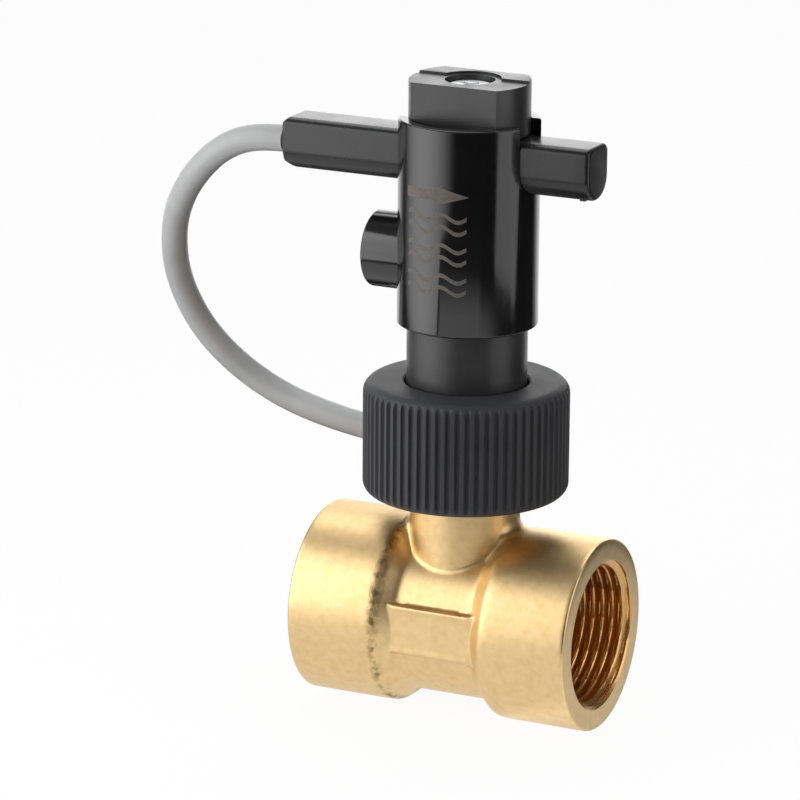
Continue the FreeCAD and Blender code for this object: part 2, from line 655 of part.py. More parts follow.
def reed_carrier():
    """Bar that carries the reed switch through the head, clamped where the switching point is right."""
    part = body("reed_carrier")
    length = "bar_left + bar_right - cap_thickness"
    padded(part, sketch(part, "YZ_Plane", [bar_section()], lift="-bar_left"), length)
    round_bar_edges(part)
    top = "bar_bottom + bar_depth"
    bevels = [
        [("-bar_left", "bar_bottom"), ("-bar_left + bar_end_bevel", "bar_bottom"),
         ("-bar_left", "bar_bottom + bar_end_bevel")],
        [("-bar_left", top), ("-bar_left", top + " - bar_end_bevel / 2"), ("-bar_left + bar_end_bevel / 2", top)],
    ]
    pocketed(part, sketch(part, "XZ_Plane", bevels), "2 * bar_width", symmetric=True)
    channel = sketch(part, "YZ_Plane", circles=[("0", CABLE_AXIS, "channel_radius")], lift="end_wall - bar_left")
    pocketed(part, channel, length, reverse=True)
    exit_hole = sketch(part, "YZ_Plane", circles=[("0", CABLE_AXIS, "collar_outer_radius + slip")], lift="-bar_left")
    pocketed(part, exit_hole, "2 * end_wall", reverse=True)


def carrier_end_cap():
    """Cap on the bar's free end, with a plug in the channel and a small stop under it."""
    part = body("carrier_end_cap")
    start = "bar_right - cap_thickness"
    padded(part, sketch(part, "YZ_Plane", [bar_section()], lift=start), "cap_thickness")
    round_bar_edges(part)
    face = worth("bar_right")
    dressed(part, "Fillet", "cap_rounding", lambda e: all(abs(p.x - face) < 1e-4 for p in e.discretize(5)))
    plug = sketch(part, "YZ_Plane", circles=[("0", CABLE_AXIS, "channel_radius - slip")], lift=start)
    padded(part, plug, "cap_plug_length", reverse=True)
    side = "nub_width / 2"
    nub = [("-(%s)" % side, "bar_bottom - nub_height"), (side, "bar_bottom - nub_height")]
    nub += [(side, "bar_bottom + nub_height"), ("-(%s)" % side, "bar_bottom + nub_height")]
    padded(part, sketch(part, "YZ_Plane", [nub], lift=start), "nub_length")


def cable_collar():
    """Rubber collar in the bar's end wall; the jacket ends against it and the cores run through."""
    proud, inner = "bar_left + collar_proud", "bar_left - end_wall"
    outline = [
        ("collar_inner_radius", inner + " - collar_flange_length"),
        ("channel_radius - slip", inner + " - collar_flange_length"),
        ("channel_radius - slip", inner),
        ("collar_outer_radius", inner),
        ("collar_outer_radius", proud),
        ("collar_inner_radius", proud),
    ]
    turned("cable_collar", outline, CABLE_AXIS, Y_AXIS, "-90")


def reed_switch():
    """Glass capsule along the bar's channel, and its two reeds with their leads, apart where they overlap."""
    end, wire = "glass_length / 2", "lead_radius + slip"
    inside, reach = "glass_radius - glass_wall", "glass_length / 2 - 3 * glass_wall"
    glass = [(wire, "-(%s)" % end), ("glass_radius", "-(%s)" % end), ("glass_radius", end), (wire, end)]
    glass += [(wire, reach), (inside, reach), (inside, "-(%s)" % reach), (wire, "-(%s)" % reach)]
    turned("reed_glass", glass, CABLE_AXIS, Y_AXIS, "90")
    reeds = []
    for name, sign in (("reed_near", "-"), ("reed_far", "")):
        part = body(name, CABLE_AXIS)
        blade_end = "lead_reach + contact_overlap / 2"
        wire_end = "glass_length / 2 - 4 * glass_wall"
        lead = sketch(part, "YZ_Plane", circles=[("0", "0", "lead_radius")], lift=sign + "lead_reach")
        padded(part, lead, "lead_reach - (%s)" % wire_end, reverse=sign == "")
        low, high = "contact_gap / 2", "contact_gap / 2 + 0.18"
        if sign:
            low, high = "-contact_gap / 2 - 0.18", "-contact_gap / 2"
        strip = [("-2 * lead_radius", low), ("2 * lead_radius", low)]
        strip += [("2 * lead_radius", high), ("-2 * lead_radius", high)]
        flat = sketch(part, "YZ_Plane", [strip], lift=sign + "(%s + 0.4)" % wire_end)
        padded(part, flat, "%s - lead_reach + %s + 0.4" % (blade_end, wire_end), reverse=sign == "")
        reeds.append(part)
    grouped("reed_contacts", reeds)


# ---------------------------------------------------------------- clamp screw
def clamp_screw():
    """Pan-head screw with a cross recess, sunk in the block."""
    part = body("clamp_screw")
    low = "screw_head_top - screw_head_height"
    tip = "bar_bottom + bar_depth + 2 * pad_gap + pad_thickness"
    outline = [("0", tip), ("thread_radius - 0.4", tip), ("thread_radius", tip + " + 0.4"), ("thread_radius", low)]
    outline += [("screw_head_radius", low), ("screw_head_radius", "screw_head_top"), ("0", "screw_head_top")]
    revolved(part, sketch(part, "XZ_Plane", [outline]))
    radius, high = worth("screw_head_radius"), worth("screw_head_top")
    dressed(part, "Fillet", "screw_head_height * 0.4", lambda e: is_ring(e, radius, high))
    length, width = "drive_length / 2", "drive_width / 2"
    for long_side, short_side in ((length, width), (width, length)):
        arm = [("-(%s)" % long_side, "-(%s)" % short_side), (long_side, "-(%s)" % short_side)]
        arm += [(long_side, short_side), ("-(%s)" % long_side, short_side)]
        pocketed(part, sketch(part, "XY_Plane", [arm], lift="screw_head_top"), "drive_depth")


def clamp_parts():
    """Brass insert with the screw's thread, and the pad that the screw presses on the bar."""
    bore, outside = "thread_radius + pivot_clearance", "socket_hole_radius - slip"
    low = "bar_bottom + bar_depth + pad_gap"
    turned("threaded_insert", rod(low + " + pad_thickness + pad_travel", "recess_floor", outside, bore))
    turned("clamp_pad", rod(low, low + " + pad_thickness", "socket_hole_radius - 0.1"))


# ---------------------------------------------------------------- cable
# Points of the cable's free stretch, from the collar's end to the stored coil, about the crossing of the axes.
CABLE_ROUTE = [
    (-35.1, 0, 81.875),
    (-41.5, 0, 81.875),
    (-49, 0.5, 78.5),
    (-56.5, 3, 71),
    (-63, 9.5, 61.5),
    (-66.5, 17.5, 49),
    (-62.5, 22.5, 37),
    (-52.5, 27, 27.5),
    (-38, 27, 23.5),
    (-22, 28.5, 21.5),
    (-12.5, 30, 13.5),
    (-7.5, 33, 3),
    (-0.5, 39, -4),
    (3, 48, -8),
]
# Points of the free end, from the coil's outer turn along the back of the tee.
TAIL_ROUTE = [
    (-26, 20, -14.525),
    (-18, 20.1, -14.525),
    (-10, 20.6, -14.525),
    (-2.5, 21.5, -14.525),
]


def tube_path(points):
    """Straight runs joined by tangent arcs, each arc's radius 0.45 of the shorter run over tan of half the turn."""
    points = [Vector(*p) for p in points]
    edges, start = [], points[0]
    for before, corner, after in zip(points, points[1:], points[2:]):
        into, out = (corner - before).normalize(), (after - corner).normalize()
        half_turn = into.getAngle(out) / 2
        reach = 0.45 * min((corner - before).Length, (after - corner).Length)
        radius = reach / math.tan(half_turn)
        print("turn %.0f, radius %.1f" % (math.degrees(2 * half_turn), radius))
        first, last = corner - into * reach, corner + out * reach
        inward = (out - into).normalize()
        middle = corner + inward * (radius / math.cos(half_turn) - radius)
        edges.append(Part.LineSegment(start, first).toShape())
        edges.append(Part.Arc(first, middle, last).toShape())
        start = last
    edges.append(Part.LineSegment(start, points[-1]).toShape())
    return Part.Wire(edges)


def swept(path, radius):
    """A round solid of that radius along the path, checked against its section times its length."""
    start = path.Vertexes[0].Point
    tangent = path.Edges[0].tangentAt(path.Edges[0].FirstParameter)
    ring = Part.Wire([Part.makeCircle(radius, start, tangent)])
    solid = path.makePipeShell([ring], True, True)
    wanted = math.pi * radius**2 * path.Length
    print("tube length %.1f, volume %.4f of section times length" % (path.Length, solid.Volume / wanted))
    return solid


def feature(name, shape):
    """A piece whose shape is made with Part's own functions."""
    made = doc.addObject("Part::Feature", name)
    made.Label = name
    made.Shape = shape
    return place(made)


def cable():
    """The jacket's free stretch, its free end and its put-away coil, each a plain solid."""
    radius = worth("cable_radius")
    feature("cable", swept(tube_path(CABLE_ROUTE), radius))
    feature("cable_tail", swept(tube_path(TAIL_ROUTE), radius))
    centre = Vector(worth("coil_x"), worth("coil_y"), 0)
    near, far, floor, high = coil_section()
    section = [
        (near, floor), (far, floor), (far, floor + 1.5 * radius), (far - radius, high),
        (near + radius, high), (near, floor + 1.5 * radius),
    ]
    corners = [centre + Vector(out, 0, up) for out, up in section]
    face = Part.Face(Part.makePolygon(corners + corners[:1]))
    feature("cable_coil", face.revolve(centre, Z_AXIS, 360))


def coil_section():
    """Inner radius, outer radius, floor and top of the coil: a lower layer of turns and one nested on it."""
    radius, middle, floor = worth("cable_radius"), worth("coil_radius"), -worth("socket_radius")
    half = worth("coil_columns * cable_radius")
    return middle - half, middle + half, floor, floor + radius * (2 + math.sqrt(3))


def cable_tie():
    """Strap over the coil's section, between the cable's way in and the free end."""
    centre = Vector(worth("coil_x"), worth("coil_y"), 0)
    turn, slack = math.radians(worth("tie_turn")), worth("tie_slack")
    radial = Vector(math.cos(turn), math.sin(turn), 0)
    across = Z_AXIS.cross(radial) * worth("tie_width")
    near, far, floor, high = coil_section()
    outside = slack + worth("tie_thickness")
    outline = [
        (near - outside, floor), (near - outside, high + outside), (far + outside, high + outside),
        (far + outside, floor), (far + slack, floor), (far + slack, high + slack),
        (near - slack, high + slack), (near - slack, floor),
    ]
    corners = [centre + radial * out + Vector(0, 0, up) - across / 2 for out, up in outline]
    feature("cable_tie", Part.Face(Part.makePolygon(corners + corners[:1])).extrude(across))


def cores():
    """Two insulated cores: inside the bar up to the reed's leads, and bare of the jacket at the free end."""
    radius, spread = worth("core_radius"), worth("core_spread")
    outer_end = -worth("bar_left + collar_proud")
    reed_end = -worth("lead_reach + 0.05")
    height = worth(CABLE_AXIS)
    inner = []
    for side in (-1, 1):
        start = Vector(outer_end, side * spread, height)
        inner.append(Part.makeCylinder(radius, reed_end - outer_end - 3.0 * (side + 1), start, X_AXIS))
    feature("inner_cores", Part.makeCompound(inner))
    end, before = Vector(*TAIL_ROUTE[-1]), Vector(*TAIL_ROUTE[-2])
    along = (end - before).normalize()
    across = along.cross(Z_AXIS)
    bare, sleeves = [], []
    length, sleeve = worth("bare_length"), worth("ferrule_length")
    for side in (-1, 1):
        foot = end + across * (side * spread)
        heading = (along + across * (side * 0.12)).normalize()
        bare.append(Part.makeCylinder(radius, length - sleeve, foot, heading))
        tip = foot + heading * (length - sleeve)
        sleeves.append(Part.makeCylinder(worth("ferrule_radius"), sleeve, tip, heading))
    feature("core_ends", Part.makeCompound(bare))
    feature("core_ferrules", Part.makeCompound(sleeves))


PIECES = [
    tee_body, union_nut, switch_insert, spigot_seal, paddle_lever, paddle_blade, blade_rivets, lever_magnet,
    pivot_pin, switch_housing, reset_magnet, reed_carrier, carrier_end_cap, cable_collar, reed_switch,
    clamp_screw, clamp_parts, cable, cable_tie, cores,
]
for make in PIECES:
    make()
doc.recompute()

# ---------------------------------------------------------------- checks and files
os.makedirs("parts", exist_ok=True)
GROUPED = {piece.Name for group in doc.findObjects("Part::Compound") for piece in group.Links}
for thing in doc.Objects:
    if {"Invalid", "Error"} & set(thing.State):
        raise RuntimeError("%s is %s" % (thing.Name, thing.State))
nodes = [
    thing for thing in doc.Objects
    if thing.TypeId in ("PartDesign::Body", "Part::Feature", "Part::Compound", "Part::Torus")
    and thing.Name not in GROUPED
]
for node in nodes:
    if node.Shape.isNull() or not node.Shape.isValid() or not node.Shape.Solids:
        raise RuntimeError(node.Label + " has no valid shape")
for node in nodes:
    node.Shape.exportStep("parts/%s.step" % node.Label)
    print(node.Label, len(node.Shape.Solids), round(node.Shape.Volume, 1))
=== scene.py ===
"""Paddle flow switch on a brass tee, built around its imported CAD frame.

The sections follow the object as it is put together: the studio, the brass tee,
the switch insert, the paddle, the union nut, the switch housing, the flow mark,
the reed carrier, the clamp and the cable. The studio and the finishes are in
metres. The pieces' sizes are in millimetres, and are scaled where a mesh is made.
"""

import math

import bmesh
import bpy
import numpy as np
from mathutils import Matrix, Vector


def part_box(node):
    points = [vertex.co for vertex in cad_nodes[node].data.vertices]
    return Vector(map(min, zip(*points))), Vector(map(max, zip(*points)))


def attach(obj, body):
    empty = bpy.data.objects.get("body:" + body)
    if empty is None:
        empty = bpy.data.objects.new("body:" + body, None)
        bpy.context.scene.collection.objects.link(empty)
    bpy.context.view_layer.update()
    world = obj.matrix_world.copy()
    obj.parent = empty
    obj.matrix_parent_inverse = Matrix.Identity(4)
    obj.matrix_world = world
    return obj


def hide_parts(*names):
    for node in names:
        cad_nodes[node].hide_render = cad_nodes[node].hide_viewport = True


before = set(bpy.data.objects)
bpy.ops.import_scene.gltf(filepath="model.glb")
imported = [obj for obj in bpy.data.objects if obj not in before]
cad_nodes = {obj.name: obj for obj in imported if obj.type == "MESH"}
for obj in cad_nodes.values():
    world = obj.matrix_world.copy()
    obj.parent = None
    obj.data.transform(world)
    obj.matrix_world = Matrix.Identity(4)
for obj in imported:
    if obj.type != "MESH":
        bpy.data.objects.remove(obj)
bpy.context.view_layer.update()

# ============================================================ studio
# A plain pale table between two tall soft boxes, with a third one overhead,
# seen from the outlet's side and a little above the table.
tee_low, tee_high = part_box("tee_body")
BRANCH_X = (tee_low.x + tee_high.x) / 2
TABLE = tee_low.z
CAMERA_AZIMUTH = math.radians(25.664)
WHITE = (1, 1, 1, 1)


def towards(azimuth, height=0.0):
    """Unit vector at an azimuth from the front and a height angle: (sin a cos h, -cos a cos h, sin h)."""
    level = math.cos(height)
    return Vector((math.sin(azimuth) * level, -math.cos(azimuth) * level, math.sin(height)))


def step(tree, kind, settings=None, **inputs):
    """Adds a node of that kind, with its settings, and its inputs by name or, as in _0, by number.

    A socket is linked, and a number is set.
    """
    made = tree.nodes.new(kind)
    for key, value in (settings or {}).items():
        setattr(made, key, value)
    for key, value in inputs.items():
        socket = made.inputs[int(key[1:])] if key[0] == "_" else made.inputs[key.replace("_", " ")]
        if isinstance(value, bpy.types.NodeSocket):
            tree.links.new(value, socket)
        else:
            socket.default_value = value
    return made


def numbered(values):
    """Inputs for a step by their numbers."""
    return {f"_{number}": value for number, value in enumerate(values)}


def maths(tree, operation, *values):
    """Result of a Math node on those values."""
    return step(tree, "ShaderNodeMath", {"operation": operation}, **numbered(values)).outputs[0]


def vector_maths(tree, operation, output, *values):
    """The Vector or the Value that a Vector Math node makes of those values."""
    return step(tree, "ShaderNodeVectorMath", {"operation": operation}, **numbered(values)).outputs[output]


def ramp(tree, value, start, end, low=0.0, high=1.0, shape="LINEAR"):
    """The value carried from start and end to low and high and held there; SMOOTHSTEP eases both ends."""
    return step(tree, "ShaderNodeMapRange", {"interpolation_type": shape}, Value=value, From_Min=start,
                From_Max=end, To_Min=low, To_Max=high).outputs["Result"]


def camera():
    """A long lens that looks at a point left of the branch; its matrix has the columns right, up and back."""
    above, roll = math.radians(15.819), math.radians(0.423)
    sensor, lens, distance = 36.0, 202.479, 0.78741
    aim = Vector((BRANCH_X - 0.012807, 0, 0.037360))
    back = towards(CAMERA_AZIMUTH, above)
    level = Vector((math.cos(CAMERA_AZIMUTH), math.sin(CAMERA_AZIMUTH), 0))
    right = level * math.cos(roll) + back.cross(level) * math.sin(roll)
    data = bpy.data.cameras.new("camera")
    data.sensor_width, data.lens = sensor, lens
    data.clip_start, data.clip_end = 0.05, 20
    holder = bpy.data.objects.new("camera", data)
    holder.matrix_world = Matrix((right, back.cross(right), back)).transposed().to_4x4()
    holder.location = aim + back * distance
    bpy.context.scene.collection.objects.link(holder)
    bpy.context.scene.camera = holder


def lamp(name, wide, tall, power, place, out):
    """A flat lamp at a place, which shines against the direction out."""
    data = bpy.data.lights.new(name, "AREA")
    data.shape, data.size, data.size_y, data.energy = "RECTANGLE", wide, tall, power
    holder = bpy.data.objects.new(name, data)
    holder.location = place
    holder.rotation_euler = out.to_track_quat("Z", "Y").to_euler()
    bpy.context.scene.collection.objects.link(holder)
    return holder


def soft_box(name, azimuth, half_angle, radiance, feather):
    """An upright lamp from the table up, at an azimuth in degrees from the camera's.

    It reaches the half angle to each side, and fades there over the feather, a share of its half width.
    """
    distance, high = 0.20, 0.26
    wide, tall = 2 * distance * math.tan(math.radians(half_angle)), high - TABLE
    out = towards(CAMERA_AZIMUTH + math.radians(azimuth))
    place = Vector((BRANCH_X, 0, (high + TABLE) / 2)) + out * distance
    holder = lamp(name, wide, tall, radiance * math.pi * wide * tall, place, out)
    holder.visible_camera = False
    holder.data.use_nodes = True
    tree = holder.data.node_tree
    middle = 0.5
    across = step(tree, "ShaderNodeNewGeometry").outputs["Parametric"]
    across = step(tree, "ShaderNodeSeparateXYZ", Vector=across).outputs["X"]
    off = maths(tree, "ABSOLUTE", maths(tree, "SUBTRACT", across, middle))
    fade = ramp(tree, off, middle, middle * (1 - feather), shape="SMOOTHSTEP")
    tree.links.new(fade, tree.nodes["Emission"].inputs["Strength"])


def overhead():
    """A square lamp, high behind the object on the left, aimed at its middle."""
    width, power = 0.5, 1.6
    place, aim = Vector((BRANCH_X - 0.15, 0.25, 0.6)), Vector((BRANCH_X, 0, 0.05))
    lamp("soft_box_top", width, width, power, place, place - aim)


def room():
    """A world that is white to the camera, and to other rays a bright backdrop in a dim room."""
    backdrop_edge, backdrop_middle, backdrop_light = 0.78, 0.96, 2.3
    wall, ceiling, wall_light, ceiling_light = 0.3, 0.6, 0.08, 0.18
    world = bpy.data.worlds.new("studio")
    world.use_nodes = True
    tree = world.node_tree
    rays = step(tree, "ShaderNodeLightPath").outputs
    heading = step(tree, "ShaderNodeTexCoord").outputs["Generated"]
    behind = vector_maths(tree, "DOT_PRODUCT", "Value", heading, -towards(CAMERA_AZIMUTH))
    backdrop = ramp(tree, behind, backdrop_edge, backdrop_middle, 0.0, backdrop_light, "SMOOTHSTEP")
    height = step(tree, "ShaderNodeSeparateXYZ", Vector=heading).outputs["Z"]
    dim = ramp(tree, height, wall, ceiling, wall_light, ceiling_light, "SMOOTHSTEP")
    lit = maths(tree, "MAXIMUM", backdrop, dim)
    seen = maths(tree, "MAXIMUM", rays["Is Camera Ray"], rays["Is Transmission Ray"])
    level = step(tree, "ShaderNodeMix", _0=seen, _2=lit, _3=1.0)
    background = tree.nodes["Background"]
    background.inputs["Color"].default_value = WHITE
    tree.links.new(level.outputs[0], background.inputs["Strength"])
    bpy.context.scene.world = world


def table_top():
    """White to the camera but for a faint shadow; mirrored rays see it dark, with three places of painted
    glow.

    These places glow only in reflections, as painted reflections of lights: one in front on the left, one on
    the right, and the table far behind. Each glows by the eased cosine between its direction and the point's,
    times an eased fade with the point's distance.
    """
    glow_share, diffuse, camera_light = 0.88, 0.42, 1.08
    material = bpy.data.materials.new("table_top")
    material.use_nodes = True
    tree = material.node_tree
    tree.nodes.remove(tree.nodes["Principled BSDF"])
    place = step(tree, "ShaderNodeTexCoord").outputs["Object"]
    place = vector_maths(tree, "SUBTRACT", "Vector", place, (BRANCH_X, 0, TABLE))
    distance = vector_maths(tree, "LENGTH", "Value", place)
    direction = vector_maths(tree, "NORMALIZE", "Vector", place)

    def glow_patch(centre, cosines, lengths, light):
        facing = vector_maths(tree, "DOT_PRODUCT", "Value", direction, centre)
        facing = ramp(tree, facing, *cosines, shape="SMOOTHSTEP")
        near = ramp(tree, distance, *lengths, high=light, shape="SMOOTHSTEP")
        return maths(tree, "MULTIPLY", facing, near)

    # Painted reflections: the table glows in these places only for mirrored rays, in place of lights round
    # the object.
    front_left = towards(CAMERA_AZIMUTH - math.radians(40))
    right_side = towards(CAMERA_AZIMUTH + math.radians(92))
    away = -towards(CAMERA_AZIMUTH)
    front_glow = glow_patch(front_left, cosines=(-0.2, 0.4), lengths=(0.19, 0.13), light=1.0)
    side_glow = glow_patch(right_side, cosines=(0.3, 0.8), lengths=(0.14, 0.08), light=0.7)
    far_glow = glow_patch(away, cosines=(0.58, 0.92), lengths=(0.12, 0.3), light=1.4)
    mirrored = maths(tree, "ADD", maths(tree, "ADD", front_glow, far_glow), side_glow)
    rays = step(tree, "ShaderNodeLightPath").outputs
    strength = step(tree, "ShaderNodeMix", _0=rays["Is Camera Ray"], _2=mirrored, _3=camera_light)
    share = maths(tree, "MAXIMUM", rays["Is Camera Ray"], rays["Is Glossy Ray"])
    share = maths(tree, "MULTIPLY", share, glow_share)
    lit = step(tree, "ShaderNodeBsdfDiffuse", Color=(diffuse, diffuse, diffuse, 1))
    glow = step(tree, "ShaderNodeEmission", Color=WHITE, Strength=strength.outputs[0])
    mixed = step(tree, "ShaderNodeMixShader", _0=share, _1=lit.outputs[0], _2=glow.outputs[0])
    tree.links.new(mixed.outputs[0], tree.nodes["Material Output"].inputs["Surface"])
    return material


def table():
    """The table as one square face."""
    reach = 6.0
    corners = [(x * reach, y * reach, TABLE) for x, y in ((-1, -1), (1, -1), (1, 1), (-1, 1))]
    mesh = bpy.data.meshes.new("table")
    mesh.from_pydata(corners, [], [(0, 1, 2, 3)])
    mesh.materials.append(table_top())
    made = bpy.data.objects.new("table", mesh)
    bpy.context.scene.collection.objects.link(made)


bpy.context.scene.view_settings.view_transform = "Standard"
camera()
soft_box("soft_box_left", -74, 52, radiance=2.5, feather=1.0)
soft_box("soft_box_right", 64, 21, radiance=1.15, feather=0.15)
overhead()
room()
table()

# ============================================================ brass tee
# Hot-forged brass body, blasted to a satin skin, with faced ends and a pipe
# thread cut in each socket. The upright branch takes the switch head.
MM = 0.001
HALF_RUN, THREAD_END = 26.35, 10.85
SOCKET_RADIUS, SOCKET_EDGE = 16.9, 0.4
WAIST_RADIUS, WATERWAY_RADIUS = 14.2, 10.0
FLAT_REACH, FLAT_HALF, FLAT_LIFT = 14.6, 4.6, 0.4
NECK_RADIUS, BORE_RADIUS = 9.6, 7.7
SKIN, CUT, THREADED = range(3)


def soften(value, width):
    """Positive part of the values, its corner rounded: half of (v + root of (v squared + width squared))."""
    return (value + np.sqrt(value * value + width * width)) / 2


def ease(value):
    """Values held between 0 and 1, eased at both ends: 3 v squared less 2 v cubed."""
    value = np.clip(value, 0, 1)
    return value * value * (3 - 2 * value)


def spaced(length, count, crowded, width, weight):
    """count + 1 stations from 0 to length, crowded by a bell of that width and weight at each listed one."""
    fine = np.linspace(0, length, 4000)
    density = 1 + sum(weight * np.exp(-(((fine - c) / width) ** 2)) for c in crowded)
    total = np.concatenate([[0], np.cumsum((density[1:] + density[:-1]) / 2)])
    return np.interp(np.linspace(0, total[-1], count + 1), total, fine)


def around_axis(along, radius, turn):
    """Points about the run's axis: (along, radius times sine, radius times cosine), turn 0 at the top."""
    along, radius, turn = np.broadcast_arrays(along, radius, turn)
    return np.stack([along, radius * np.sin(turn), radius * np.cos(turn)], -1)


def upright(radius, turn, height):
    """Points about the branch's axis: (radius times cosine, radius times sine, height)."""
    radius, turn, height = np.broadcast_arrays(radius, turn, height)
    return np.stack([radius * np.cos(turn), radius * np.sin(turn), height], -1)


def corner_numbers(rows, columns, closed):
    """Corner numbers of a grid's four-sided faces; closed joins each row's last point to its first."""
    index = np.arange(rows * columns).reshape(rows, columns)
    if closed:
        index = np.concatenate([index, index[:, :1]], 1)
    faces = [index[:-1, :-1], index[1:, :-1], index[1:, 1:], index[:-1, 1:]]
    return np.stack(faces, -1)


def skinned(name, patches, finishes, sharp=30, solid=True):
    """One mesh object from patches: (grid of points, closed, finish number[, mask of faces]).

    The points are in millimetres, with the branch's axis at 0. Equal points of neighbouring patches are
    merged, and edges sharper than that angle stay sharp.
    """
    points, faces, numbers, count = [], [], [], 0
    for grid, closed, number, *mask in patches:
        rows, columns = grid.shape[:2]
        corners = corner_numbers(rows, columns, closed)
        corners = corners[mask[0]] if mask else corners.reshape(-1, 4)
        points.append(grid.reshape(-1, 3))
        faces.append(corners + count)
        numbers.append(np.full(len(corners), number))
        count += rows * columns
    points = np.concatenate(points) * MM + (BRANCH_X, 0, 0)
    faces, numbers = np.concatenate(faces), np.concatenate(numbers)
    mesh = bpy.data.meshes.new(name)
    mesh.from_pydata(points.tolist(), [], faces.tolist())
    for material in finishes:
        mesh.materials.append(material)
    mesh.polygons.foreach_set("material_index", numbers.astype(np.int32))
    work = bmesh.new()
    work.from_mesh(mesh)
    bmesh.ops.remove_doubles(work, verts=work.verts, dist=2e-6)
    loose = [v for v in work.verts if not v.link_faces]
    bmesh.ops.delete(work, geom=loose, context="VERTS")
    if solid:
        bmesh.ops.recalc_face_normals(work, faces=work.faces)
    work.to_mesh(mesh)
    work.free()
    mesh.shade_smooth()
    mesh.set_sharp_from_angle(angle=math.radians(sharp))
    made = bpy.data.objects.new(name, mesh)
    bpy.context.scene.collection.objects.link(made)
    return made


def fitted(piece, body, slot, *stands_for):
    """The piece rides on that body and stands for those CAD nodes. The slot is not used."""
    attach(piece, body)
    if stands_for:
        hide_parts(*stands_for)


def finish(name, colour, roughness, metallic=0.0, specular=0.5):
    """A Principled finish of one colour; returns the material, its node tree and its shader."""
    material = bpy.data.materials.new(name)
    material.use_nodes = True
    tree = material.node_tree
    shader = tree.nodes["Principled BSDF"]
    shader.inputs["Base Color"].default_value = (*colour, 1)
    shader.inputs["Roughness"].default_value = roughness
    shader.inputs["Metallic"].default_value = metallic
    shader.inputs["Specular IOR Level"].default_value = specular
    return material, tree, shader


def noise(tree, place, scale, detail):
    """Value of a cloudy noise at each place."""
    return step(tree, "ShaderNodeTexNoise", Vector=place, Scale=scale, Detail=detail).outputs["Fac"]


def bumped(tree, height, strength, distance, under=None, invert=False):
    """Normal of a surface raised by that height, or sunk where inverted, on top of the normal under it."""
    bump = step(tree, "ShaderNodeBump", {"invert": invert}, Strength=strength, Distance=distance,
                Height=height)
    if under:
        tree.links.new(under, bump.inputs["Normal"])
    return bump.outputs["Normal"]


def turned_rings(tree, place, rings, under):
    """Fine rings of a faced end: the sine of the radius about the run's axis, in metres, times rings."""
    parts = step(tree, "ShaderNodeSeparateXYZ", Vector=place).outputs
    across = step(tree, "ShaderNodeCombineXYZ", X=0.0, Y=parts["Y"], Z=parts["Z"]).outputs[0]
    radius = vector_maths(tree, "LENGTH", "Value", across)
    wave = maths(tree, "SINE", maths(tree, "MULTIPLY", radius, rings))
    return bumped(tree, wave, strength=0.25, distance=0.00003, under=under)


def shoulder_scars(tree, place, pitting, colour, under):
    """Dark pits in a narrow band at the foot of the inlet's shoulder; returns the colour and the normal."""
    band, reach, core = 0.0100, 0.0012, 0.0001
    stain = (0.22, 0.13, 0.05, 1)
    along = step(tree, "ShaderNodeSeparateXYZ", Vector=place).outputs["X"]
    along = maths(tree, "SUBTRACT", along, BRANCH_X)
    off = maths(tree, "ABSOLUTE", maths(tree, "ADD", along, band))
    near = ramp(tree, off, reach, core)
    pits = ramp(tree, noise(tree, place, scale=800.0, detail=6.0), start=0.40, end=0.62)
    worn = maths(tree, "MULTIPLY", maths(tree, "MULTIPLY", near, pits), pitting)
    normal = bumped(tree, worn, strength=0.8, distance=0.0001, under=under, invert=True)
    stained = step(tree, "ShaderNodeMix", {"data_type": "RGBA"}, _0=worn, _6=colour, _7=stain)
    return stained.outputs[2], normal


def brass(name, colour, roughness, rings=0.0, pitting=0.0):
    """Brass in faint clouds of two tones with a blasted grain, and turned rings or scars where given."""
    material, tree, shader = finish(name, colour, roughness, metallic=1.0)
    shading = (0.90, 0.86, 0.79)
    dark = [channel * share for channel, share in zip(colour, shading)]
    place = step(tree, "ShaderNodeTexCoord").outputs["Object"]
    cloud = ramp(tree, noise(tree, place, scale=650.0, detail=5.0), start=0.35, end=0.75)
    tint = step(tree, "ShaderNodeMix", {"data_type": "RGBA"}, _0=cloud, _6=(*colour, 1), _7=(*dark, 1))
    grain = noise(tree, place, scale=5200.0, detail=2.0)
    speck = noise(tree, place, scale=1300.0, detail=3.0)
    normal = bumped(tree, maths(tree, "ADD", grain, speck), strength=0.35, distance=0.00006)
    tone = tint.outputs[2]
    if rings:
        normal = turned_rings(tree, place, rings, normal)
    if pitting:
        tone, normal = shoulder_scars(tree, place, pitting, tone, normal)
    tree.links.new(tone, shader.inputs["Base Color"])
    tree.links.new(normal, shader.inputs["Normal"])
    return material


def skin_radius(along, turn):
    """Radius of the forged skin: the waist's, plus two slopes up to the sockets, and the spanner flats.

    A slope is the difference of two softened ramps. A flat is a plane at its reach from the axis, kept inside
    its edges where it stands out of the waist, with a low bell of a ridge inside each edge.
    """
    slope_start, slope_end, slope_rounding, lean = 7.3, 10.2, 0.5, 0.2
    edge_width, ridge, ridge_inset, ridge_width = 1.1, 0.10, 0.75, 0.35
    ridge_past_waist, ridge_fade = 0.4, 0.6
    side = np.abs(along - lean)
    slope = soften(side - slope_start, slope_rounding) - soften(side - slope_end, slope_rounding)
    rise = slope * (SOCKET_RADIUS - WAIST_RADIUS) / (slope_end - slope_start)
    radius = np.broadcast_arrays(WAIST_RADIUS + rise, turn)[0]
    flat = FLAT_REACH / np.maximum(np.abs(np.sin(turn)), 1e-3)
    off = np.abs(flat * np.cos(turn) - FLAT_LIFT) - FLAT_HALF
    inside = ease(0.5 - off / edge_width)
    bell = ridge * np.exp(-(((off + ridge_inset) / ridge_width) ** 2))
    bell = bell * ease((slope_start + ridge_past_waist - side) / ridge_fade)
    return radius + inside * np.maximum(flat - radius, 0) + bell


def water_radius(along, turn):
    """The waterway's radius, the same everywhere."""
    return np.full(np.broadcast(along, turn).shape, WATERWAY_RADIUS)


